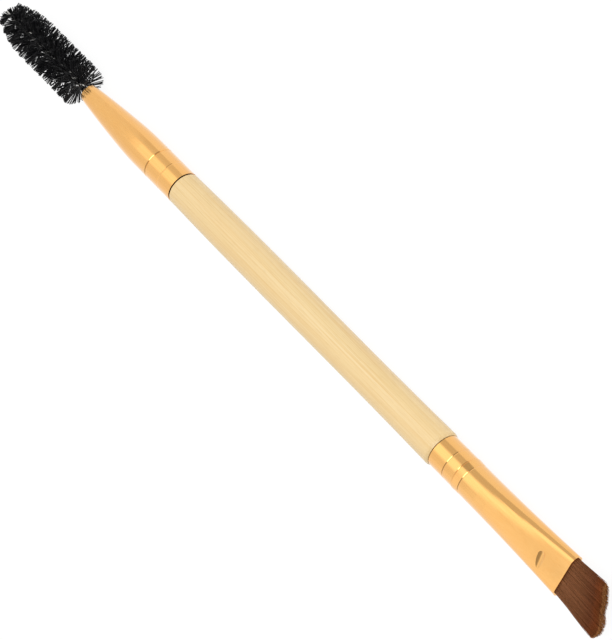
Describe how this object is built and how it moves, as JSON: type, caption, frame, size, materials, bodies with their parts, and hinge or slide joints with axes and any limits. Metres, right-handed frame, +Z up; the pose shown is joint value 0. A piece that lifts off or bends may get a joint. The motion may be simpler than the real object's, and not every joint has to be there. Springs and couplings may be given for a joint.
{
  "type": "double-ended eyebrow brush",
  "caption": "Double-ended eyebrow brush: a spiral bristle brush and a flat, slanted hair brush, each in a metal ferrule on a slim turned bamboo handle.",
  "frame": {"origin": "middle of the brush's bounding box seen from above, at the level of its lowest bristle, which is the surface it lies on", "axes": "+X runs along the brush towards the slanted hair head, the spiral brush is at -X; +Z is up, square to the broad faces of the pressed ferrule; +Y is across the flat head, towards its short side"},
  "size_m": [0.1693, 0.009, 0.0085],
  "materials": {
    "bamboo": "pale bamboo with fine lengthwise grain under satin lacquer",
    "gold_aluminium": "bright rose gold anodised aluminium",
    "steel_wire": "bright twisted steel wire",
    "black_nylon": "black nylon filament with a slight sheen",
    "epoxy": "clear yellowish set epoxy",
    "brown_hair": "dark brown synthetic hair, redder at the tips"
  },
  "bodies": {
    "root": {"handle": "bamboo", "spoolie_ferrule": "gold_aluminium", "brush_ferrule": "gold_aluminium", "spoolie_wire": "steel_wire", "spoolie_bristles": "black_nylon", "spoolie_glue": "epoxy", "brow_tuft": "brown_hair", "tuft_glue": "epoxy"}
  },
  "joints": []
}
